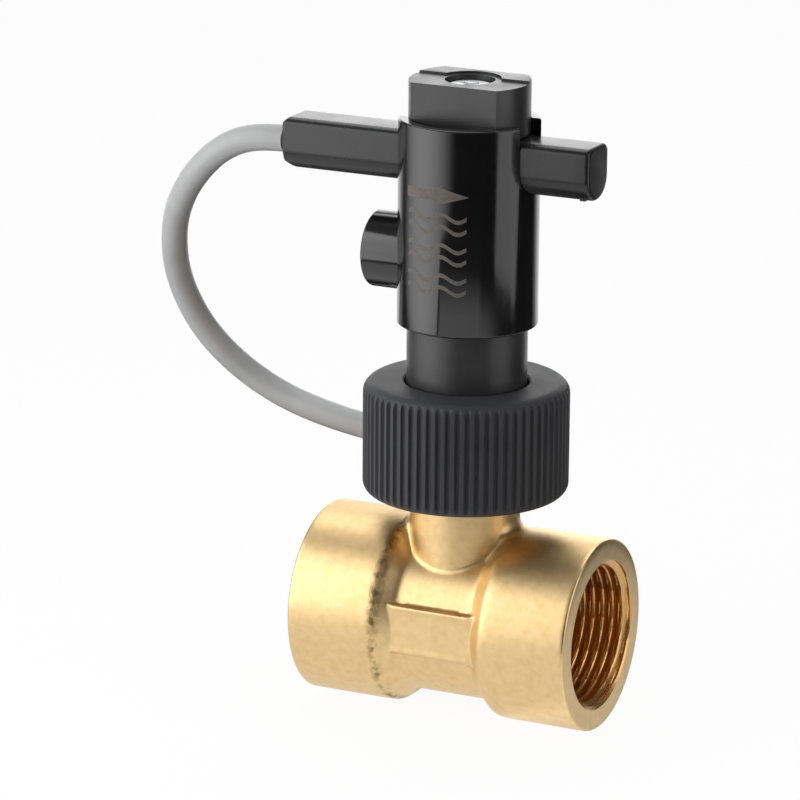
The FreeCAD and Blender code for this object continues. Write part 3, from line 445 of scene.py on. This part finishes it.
def nearest(values, reach):
    """Numbers of the values that lie nearest to the reach on each side of 0."""
    return (np.abs(values - x).argmin() for x in (-reach, reach))


def block(stations, turns, reach_along, reach_turn):
    """The faces round the branch: their border as (station, turn) numbers, and a mask of all the others."""
    first, last = nearest(stations, reach_along)
    left, right = nearest(turns, reach_turn)
    border = [(first, j) for j in range(left, right)] + [(i, right) for i in range(first, last)]
    border += [(last, j) for j in range(right, left, -1)] + [(i, left) for i in range(last, first, -1)]
    mask = np.ones((len(stations) - 1, len(turns)), bool)
    mask[first:last, left:right] = False
    return np.array(border), mask


def saddle(border, stations, turns, radius_of, foot_of, rows):
    """Grid from the branch's foot out to a block's border, of straight lines in (along, turn).

    Also gives each line's heading about the branch and its foot's radius there.
    """
    along, turn = stations[border[:, 0]], turns[border[:, 1]]
    heading = np.arctan2(radius_of(along, turn) * np.sin(turn), along)
    foot = foot_of(heading)
    foot_along, foot_across = foot * np.cos(heading), foot * np.sin(heading)
    foot_turn = np.arcsin(foot_across / radius_of(foot_along, 0 * turn))
    share = np.linspace(0, 1, rows)[:, None]
    along = foot_along + (along - foot_along) * share
    turn = foot_turn + (turn - foot_turn) * share
    return around_axis(along, radius_of(along, turn), turn), heading, foot


def root_width(heading):
    """Width of the branch's fillet: the narrowest plus a widening times cosine to the fourth."""
    narrowest, widening = 0.5, 2.2
    return narrowest + widening * np.cos(heading) ** 4


def root_foot(heading):
    """Radius about the branch at which the root's fillet meets the skin."""
    return NECK_RADIUS + root_width(heading)


def bore_foot(heading):
    """Radius about the branch at which its bore meets the waterway."""
    return 0 * heading + BORE_RADIUS


def branch(outside, heading, foot, inside, inner_heading):
    """The branch's outside from the skin up, and its inside from the collar's top down to the waterway.

    The root is a curve in each upright plane: a (1-s) squared + 2 b s (1-s) + c s squared. Its control points
    are the skin's edge, the corner where the skin's tangent meets the neck's wall, and a point up that wall.
    """
    neck_top, collar, collar_edge, edge_start, top_edge = 25.0, 13.2, 0.5, 34.8, 0.7
    seat, seat_floor, top = 10.05, 31.0, 35.5
    edge = np.stack([foot, outside[0, :, 2]], -1)
    ahead = outside[1] - outside[0]
    slope = ahead[:, 2] / np.maximum(np.hypot(ahead[:, 0], ahead[:, 1]), 1e-6)
    corner = np.stack([0 * foot + NECK_RADIUS, edge[:, 1] - slope * (foot - NECK_RADIUS)], -1)
    root_top = np.stack([0 * foot + NECK_RADIUS, corner[:, 1] + root_width(heading)], -1)
    share = np.linspace(0, 1, 13)[:, None, None]
    curve = edge * (1 - share) ** 2 + 2 * corner * share * (1 - share) + root_top * share**2
    root = upright(curve[..., 0], heading, curve[..., 1])
    climb = np.linspace(0, 1, 5)[:, None]
    neck = upright(NECK_RADIUS, heading, root_top[:, 1] + (neck_top - root_top[:, 1]) * climb)
    collar_line = [(NECK_RADIUS, neck_top), (collar - collar_edge, neck_top)]
    collar_line += [(collar, neck_top + collar_edge), (collar, edge_start), (collar - top_edge, top)]
    collar_line += [(seat, top)]
    head = np.stack([upright(r, heading, z) for r, z in collar_line])
    lining = [(seat, top), (seat, seat_floor), (BORE_RADIUS, seat_floor)]
    throat = np.stack([upright(r, inner_heading, z) for r, z in lining])
    ledge = np.stack([head[-1], throat[0]])
    drop = np.linspace(0, 1, 4)[:, None]
    bore = upright(BORE_RADIUS, inner_heading, seat_floor + (inside[0, :, 2] - seat_floor) * drop)
    skins = [(grid, True, SKIN) for grid in (outside, root, neck)]
    return skins + [(grid, True, CUT) for grid in (head, ledge, throat, bore, inside)]


def socket_end(side, turns, skin_edge):
    """Faced end, countersink and right-hand pipe thread of the socket on that side of the branch, -1 or 1.

    The thread's radius is its crest's plus an eased triangle wave of one tooth to the pitch, which runs out
    before the thread's end, and it is never less than the countersink's cone.
    """
    mouth, crest, pitch, run_out_length, cone_slope = 13.22, 12.06, 1.814, 2.2, 1.1
    steepness, flat_share, face_rings = 1.25, 0.125, (15.0, 14.0)
    depth = np.linspace(0, HALF_RUN - THREAD_END, 112)[:, None]
    along = side * (HALF_RUN - depth)
    phase = along / pitch + turns / (2 * math.pi)
    tooth = ease(np.abs(phase - np.round(phase)) * 2 * steepness - flat_share)
    run_out = ease((HALF_RUN - THREAD_END - depth) / run_out_length)
    radius = np.maximum(crest + (mouth - crest) * tooth * run_out, mouth - depth * cone_slope)
    thread = around_axis(along, radius, turns)
    rounding = [(0, 0.4), (0.06, 0.2), (0.2, 0.05), (0.4, 0)]
    face_line = [(SOCKET_RADIUS - inwards, HALF_RUN - back) for inwards, back in rounding]
    face_line += [(ring, HALF_RUN) for ring in (*face_rings, mouth)]
    face = np.stack([around_axis(side * u, r, turns) for r, u in face_line])
    face[0] = skin_edge
    step_in = np.stack([thread[-1], around_axis(along[-1], WATERWAY_RADIUS, turns)])
    return [(face, True, CUT), (thread, True, THREADED), (step_in, True, THREADED)]


def tee():
    """The tee: forged skin, branch, waterway and two threaded sockets, as one closed surface."""
    upper, lower = (math.degrees(math.atan2(FLAT_HALF + x, FLAT_REACH)) for x in (FLAT_LIFT, -FLAT_LIFT))
    flat_edges = [90 - lower, 90 + upper, 270 - upper, 270 + lower]
    turns = spaced(360, count=260, crowded=flat_edges, width=1.6, weight=5)
    turns = (np.radians(turns) - math.pi)[:-1]
    skin_end = HALF_RUN - SOCKET_EDGE
    # Stations crowd at the edges of the two shoulders, here measured from the inlet's end.
    shoulders = [16.0, 18.8, 33.6, 36.4]
    stations = spaced(2 * skin_end, count=112, crowded=shoulders, width=1.2, weight=2) - skin_end
    skin_border, skin_mask = block(stations, turns, reach_along=15.5, reach_turn=math.radians(70))

    # The waterway's block gets as many border points as the skin's, by the number of its stations.
    reach_along, reach_turn = 9.4, math.radians(61)
    left, right = nearest(turns, reach_turn)
    middle = np.linspace(-reach_along, reach_along, len(skin_border) // 2 - (right - left) + 1)
    end = np.linspace(reach_along, THREAD_END, 3)[1:]
    water = np.concatenate([-end[::-1], middle, end])
    water_border, water_mask = block(water, turns, reach_along, reach_turn)

    skin = around_axis(stations[:, None], skin_radius(stations[:, None], turns), turns)
    waterway = around_axis(water[:, None], WATERWAY_RADIUS, turns)
    outside, heading, foot = saddle(skin_border, stations, turns, skin_radius, root_foot, rows=16)
    inside, inner_heading, _ = saddle(water_border, water, turns, water_radius, bore_foot, rows=8)

    patches = [(skin, True, SKIN, skin_mask), *branch(outside, heading, foot, inside, inner_heading)]
    patches += [(waterway, True, CUT, water_mask)]
    patches += socket_end(-1, turns, skin[0]) + socket_end(1, turns, skin[-1])
    blasted = brass("brass_blasted", (0.86, 0.63, 0.325), 0.40, pitting=0.85)
    faced = brass("brass_faced", (0.86, 0.63, 0.32), 0.28, rings=24000.0)
    threaded = brass("brass_thread", (0.90, 0.55, 0.22), 0.26)
    made = skinned("tee", patches, [blasted, faced, threaded], sharp=38)
    fitted(made, "fitting", "brass", "tee_body")


tee()

# ============================================================ switch insert
# Black glass-filled plastic insert, moulded in one piece: a spigot and flange in
# the branch, and the tower that the housing slides over. A rubber ring seals it.
def toned(tree, shader, colour, cloud, darkest, lightest):
    """The shader's colour is the given one times a share from the darkest to the lightest, by the cloud."""
    tone = ramp(tree, cloud, 0.3, 0.7, darkest, lightest)
    shade = step(tree, "ShaderNodeVectorMath", {"operation": "SCALE"}, _0=colour, Scale=tone)
    tree.links.new(shade.outputs[0], shader.inputs["Base Color"])


def moulded(name, colour, roughness, grain, height, metallic=0.0, specular=0.5, clouds=0.05):
    """A finish with an even grain of that scale and height, whose gloss and tone vary by the clouds."""
    smoothest = 0.03
    material, tree, shader = finish(name, colour, roughness, metallic, specular)
    place = step(tree, "ShaderNodeTexCoord").outputs["Object"]
    normal = bumped(tree, noise(tree, place, scale=grain, detail=3.0), strength=0.4, distance=height)
    tree.links.new(normal, shader.inputs["Normal"])
    cloud = noise(tree, place, scale=160.0, detail=4.0)
    gloss = ramp(tree, cloud, 0.3, 0.7, max(roughness - clouds, smoothest), roughness + clouds)
    tree.links.new(gloss, shader.inputs["Roughness"])
    toned(tree, shader, colour, cloud, 1 - 2 * clouds, 1 + clouds)
    return material


def kept(material, *names):
    """CAD nodes shown as they are, welded and shaded smooth up to an edge."""
    for name in names:
        node = cad_nodes[name]
        node.data.materials.clear()
        node.data.materials.append(material)
        node.data.shade_smooth()
        node.modifiers.new("weld", "WELD").merge_threshold = 1e-6
        node.modifiers.new("edges", "EDGE_SPLIT").split_angle = math.radians(30)


insert_plastic = moulded("insert_plastic", (0.038, 0.038, 0.040), 0.34, 2600.0, 0.00003,
                         specular=0.6, clouds=0.07)
rubber = moulded("rubber", (0.012, 0.012, 0.012), 0.6, 1500.0, 0.00002)
kept(insert_plastic, "switch_insert")
kept(rubber, "spigot_seal")

# ============================================================ paddle
# Moulded lever with a magnet pressed in its head under a cap, and a stainless
# blade riveted to its foot. It swings on a steel pin across the insert's nose.
steel = moulded("steel", (0.62, 0.62, 0.62), 0.28, 1500.0, 0.00001, metallic=1.0)
ferrite = moulded("ferrite", (0.05, 0.05, 0.055), 0.5, 1500.0, 0.00002, metallic=0.4)
kept(insert_plastic, "paddle_lever", "magnet_cap")
kept(steel, "paddle_blade", "blade_rivets", "pivot_pin")
kept(ferrite, "lever_magnet")

# ============================================================ union nut
# Moulded matte nut, gripped by sixty-seven moulded ribs below a plain rounded
# collar. It pulls the insert's flange down on the branch's threaded collar.
def arc(centre, radius, start, end, count):
    """Points of an arc between two angles in degrees: centre plus radius times (cosine, sine)."""
    angle = np.radians(np.linspace(start, end, count))
    return np.stack([centre[0] + radius * np.cos(angle), centre[1] + radius * np.sin(angle)], -1)


def union_nut():
    """A section carried round the branch, whose radius is softly held to the grooves' floor in each groove.

    A groove is where the share of a turn of one rib, measured from its middle, is under an eased limit.
    """
    ribs, steps_per_rib = 67, 12
    outside, low, high, rounding, wall_margin = 18.0, 22.7, 42.8, 2.1, 0.3
    bore, bore_edge, hole, hole_edge, shoulder = 13.3, 0.4, 10.9, 0.3, 39.3
    groove_floor, floor_rounding, groove_share, flank_share = 17.42, 0.05, 0.34, 0.22
    wall_height = np.linspace(low + rounding + wall_margin, high - rounding - wall_margin, 10)
    section = np.concatenate([
        [(bore, low + bore_edge), (bore + bore_edge, low), (outside - rounding, low)],
        arc((outside - rounding, low + rounding), rounding, -80, 0, 14),
        np.stack([0 * wall_height + outside, wall_height], -1),
        arc((outside - rounding, high - rounding), rounding, 0, 82, 18),
        [(outside - rounding, high), (hole + hole_edge, high), (hole, high - hole_edge)],
        [(hole, shoulder), (bore, shoulder), (bore, low + bore_edge)],
    ])
    count = ribs * steps_per_rib
    turn = np.arange(count) * 2 * math.pi / count
    phase = turn * ribs / (2 * math.pi)
    share = np.abs(phase - np.round(phase))
    reach, height = section[:, :1], section[:, 1:]
    sink = soften(reach - groove_floor, floor_rounding) * ease((groove_share - share) / flank_share)
    grid = upright(reach - sink, turn, height)
    nut_plastic = moulded("nut_plastic", (0.062, 0.063, 0.068), 0.56, 2600.0, 0.00005,
                          specular=0.35, clouds=0.06)
    made = skinned("union_nut_ribbed", [(grid, True, 0)], [nut_plastic], sharp=40)
    fitted(made, "nut", "nut_plastic", "union_nut")


union_nut()

# ============================================================ switch housing
# Glossy black sleeve with its clamping block and a side boss, moulded in one.
# A reset magnet lies in the boss, closed in by a plug of the same plastic.
housing_plastic = moulded("housing_plastic", (0.008, 0.008, 0.009), 0.13, 900.0, 0.000002,
                          specular=0.75, clouds=0.04)
kept(housing_plastic, "switch_housing", "magnet_plug")
kept(ferrite, "reset_magnet")

# ============================================================ flow mark
# Laser-marked flow sign on the sleeve's front: an arrow along the flow over
# three waves of running water, a brownish grey skin on the black plastic.
def wrapped(along, low, high):
    """A strip between two heights, laid on the sleeve at (radius, arc length over radius, height)."""
    sleeve, skin_thickness, start = 12.25, 0.012, -26.25
    return upright(sleeve + skin_thickness, (start + along) / sleeve, np.stack([low, high]))


def flow_mark():
    """An arrow, whose head's half height falls evenly to its tip, over waves that are pairs of sine lines."""
    length, shaft_length, arrow_height, half_head = 12.4, 6.2, 77.95, 1.75
    shaft_below, shaft_above = 1.0, 0.85
    wave_heights, wave_gap, wave_swing, wave_length, half_line = (73.1, 67.8, 62.5), 1.05, 0.62, 6.0, 0.36
    wave_start, wave_end = 0.3, 12.0
    colour = (0.155, 0.135, 0.122)
    shaft = np.linspace(0, shaft_length, 13)
    head = np.linspace(shaft_length, length, 13)
    taper = half_head * (length - head) / (length - shaft_length)
    middle = 0 * shaft + arrow_height
    patches = [(wrapped(shaft, middle - shaft_below, middle + shaft_above), False, 0)]
    patches += [(wrapped(head, arrow_height - taper, arrow_height + taper), False, 0)]
    along = np.linspace(wave_start, wave_end, 49)
    for height in wave_heights:
        for lift in (wave_gap, -wave_gap):
            line = height + lift + wave_swing * np.sin(along * 2 * math.pi / wave_length)
            patches.append((wrapped(along, line - half_line, line + half_line), False, 0))
    material, tree, shader = finish("laser_mark", colour, 0.55, specular=0.3)
    place = step(tree, "ShaderNodeTexCoord").outputs["Object"]
    toned(tree, shader, colour, noise(tree, place, scale=1400.0, detail=4.0), 0.85, 1.1)
    made = skinned("flow_mark", patches, [material], solid=False)
    fitted(made, "fitting", "housing_plastic")


flow_mark()

# ============================================================ reed carrier
# Black bar that slides through the housing, with a reed switch in its bore: two
# tinned blades in a glass tube, soldered to the cores. A cap shuts one end.
carrier_plastic = moulded("carrier_plastic", (0.020, 0.020, 0.021), 0.27, 1800.0, 0.00001)
glass = moulded("glass", (0.8, 0.95, 0.85), 0.05, 300.0, 0.00001, clouds=0.02)
glass.node_tree.nodes["Principled BSDF"].inputs["Transmission Weight"].default_value = 1.0
tin = moulded("tin", (0.72, 0.72, 0.70), 0.25, 900.0, 0.00001, metallic=1.0)
core = moulded("core", (0.25, 0.12, 0.05), 0.4, 1500.0, 0.00001)
kept(carrier_plastic, "reed_carrier", "carrier_end_cap")
kept(glass, "reed_glass")
kept(tin, "reed_contacts")
kept(core, "inner_cores")

# ============================================================ clamp
# Brass insert set in the block, a bright zinc-plated screw in its thread, and a
# steel pad under the screw's tip that holds the carrier where it is set.
brass_insert = moulded("brass_insert", (0.83, 0.61, 0.30), 0.3, 1500.0, 0.00001, metallic=1.0)
zinc = moulded("zinc", (0.86, 0.87, 0.88), 0.42, 900.0, 0.00001, metallic=1.0)
kept(brass_insert, "threaded_insert")
kept(steel, "clamp_pad")


def cross_recess(across, along):
    """Depth of a crossed slot: the full depth times the greater of the two slots' eased shares."""
    depth, half_length, end_fade, half_width, wall_fade = 1.3, 2.35, 0.3, 0.62, 0.24

    def slot(length, width):
        return ease((half_length - length) / end_fade) * ease((half_width - width) / wall_fade)

    return depth * np.maximum(slot(across, along), slot(along, across))


def clamp_screw():
    """Head and shank as one section carried round the screw's axis, with a helical groove and a crossed slot.

    The groove's depth is a triangle wave, one turn to the pitch. The head stands above its node by the lift.
    """
    low, high = (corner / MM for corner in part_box("clamp_screw"))
    rim, rounding, lift, head_height = (high.x - low.x) / 2, 0.5, 0.8, 2.2
    shank, pitch, thread_depth, tip = 2.0, 0.7, 0.22, 0.4
    columns, undercut, recess_turn = 120, 0.1, 0.5
    top, seat = high.z + lift, high.z - head_height
    face_reach = np.linspace(0, rim - rounding, 40)
    shank_height = np.linspace(seat - undercut, low.z + tip, 60)
    face = np.stack([face_reach, 0 * face_reach + top], -1)
    edge = arc((rim - rounding, top - rounding), rounding, 84, 0, 8)
    side = np.concatenate([edge, [(rim, seat), (shank + undercut, seat)]])
    thread = np.stack([0 * shank_height + shank, shank_height], -1)
    section = np.concatenate([face, side, thread, [(shank - tip, low.z), (0, low.z)]])
    turn = np.arange(columns) * 2 * math.pi / columns
    reach, height = np.broadcast_arrays(section[:, :1], 0 * turn)[0], section[:, 1:]
    groove = np.abs((height / pitch + turn / (2 * math.pi)) % 1 - 0.5) * 2
    rows = np.arange(len(section))[:, None]
    on_face = rows < len(face)
    on_thread = (rows >= len(face) + len(side)) & (rows < len(section) - 2)
    reach = reach - thread_depth * groove * on_thread
    recess = cross_recess(*(np.abs(reach * f(turn + recess_turn)) for f in (np.cos, np.sin)))
    grid = upright(reach, turn, height - recess * on_face)
    made = skinned("clamp_screw_plated", [(grid, True, 0)], [zinc], sharp=35)
    fitted(made, "screw", "zinc_steel", "clamp_screw")


clamp_screw()

# ============================================================ cable
# Grey PVC cable with two cores: out of a rubber collar, round in a free loop
# behind the nut, and put away in a coil behind the tee under a nylon tie.
jacket = moulded("jacket", (0.47, 0.472, 0.475), 0.42, 1200.0, 0.00001, clouds=0.04)
nylon = moulded("nylon", (0.75, 0.75, 0.72), 0.4, 1200.0, 0.00001)
kept(rubber, "cable_collar")
kept(nylon, "cable_tie")
kept(core, "core_ends")
kept(tin, "core_ferrules")


def between(value, start, end):
    """Share of the way from start to end, eased."""
    return ease((value - start) / (end - start))


def coil(diameter, floor):
    """The put-away turns: two on top, inwards, then three on the table, outwards.

    A point lies at the centre plus its reach times (cosine, sine) of its turn. Reach and height step over to
    the next turn's between two turns in degrees, and the turns on top nest in the gaps of those below.
    """
    centre, radius, widest = (-24, 49), diameter / 2, 26.6
    start, end, turn_step = 15, 4.75 * 360 - 10, 22.5
    low, nested, stacked = floor + radius, floor + radius * (1 + math.sqrt(3)), floor + 3 * radius
    degrees = np.arange(start, end, turn_step)
    turn = np.radians(degrees)
    reach_steps = [(-4.7, 300, 380), (-2.4, 650, 690), (diameter, 995, 1070), (diameter, 1350, 1425)]
    reach = widest + sum(amount * between(degrees, *span) for amount, *span in reach_steps)
    # The coil is drawn in round this turn, at its back.
    drawn_in, back = 1.3, math.radians(82)
    reach -= drawn_in * np.maximum(np.cos(turn - back), 0) ** 4
    # Between these turns a turn climbs over the one under it, and comes down again.
    over = between(degrees, 255, 285) - between(degrees, 355, 390)
    over += between(degrees, 615, 645) - between(degrees, 675, 700)
    height = nested + (stacked - nested) * over + (low - nested) * between(degrees, 675, 735)
    # The spline cuts inside its control points, to this share of their reach.
    reach = reach / (0.75 + 0.25 * math.cos(math.radians(turn_step)))
    return np.stack([centre[0] + reach * np.cos(turn), centre[1] + reach * np.sin(turn), height], -1)


def cable():
    """The free stretch, the coil's turns and the free end, as one smooth spline."""
    diameter, floor = 4.75, -16.9
    radius = diameter / 2
    stretch = [(-35.1, 0, 81.875), (-41.5, 0, 81.875), (-49, 0.5, 78.5), (-56.5, 3, 71), (-63, 9.5, 61.5)]
    stretch += [(-66.5, 17.5, 49), (-62.5, 22.5, 37), (-52.5, 27, 27.5), (-38, 27, 23.5), (-22, 28.5, 21.5)]
    stretch += [(-12.5, 30, 13.5), (-7.5, 33, 3), (-0.5, 39, -4), (3, 48, -8)]
    free_end = [(-18, 20.1, floor + radius), (-10, 20.6, floor + radius), (-2.5, 21.5, floor + radius)]
    points = np.concatenate([stretch, coil(diameter, floor), free_end]) * MM + (BRANCH_X, 0, 0)
    curve = bpy.data.curves.new("cable_jacket", "CURVE")
    curve.dimensions = "3D"
    curve.bevel_depth, curve.bevel_resolution, curve.resolution_u = radius * MM, 8, 8
    curve.use_fill_caps = True
    spline = curve.splines.new("NURBS")
    spline.points.add(len(points) - 1)
    spline.points.foreach_set("co", np.concatenate([points, np.ones((len(points), 1))], 1).ravel())
    spline.order_u = 3
    spline.use_endpoint_u = True
    curve.materials.append(jacket)
    made = bpy.data.objects.new("cable_jacket", curve)
    bpy.context.scene.collection.objects.link(made)
    fitted(made, "reed_unit", "cable_jacket", "cable", "cable_coil", "cable_tail")
    tuple(points[0])


cable()
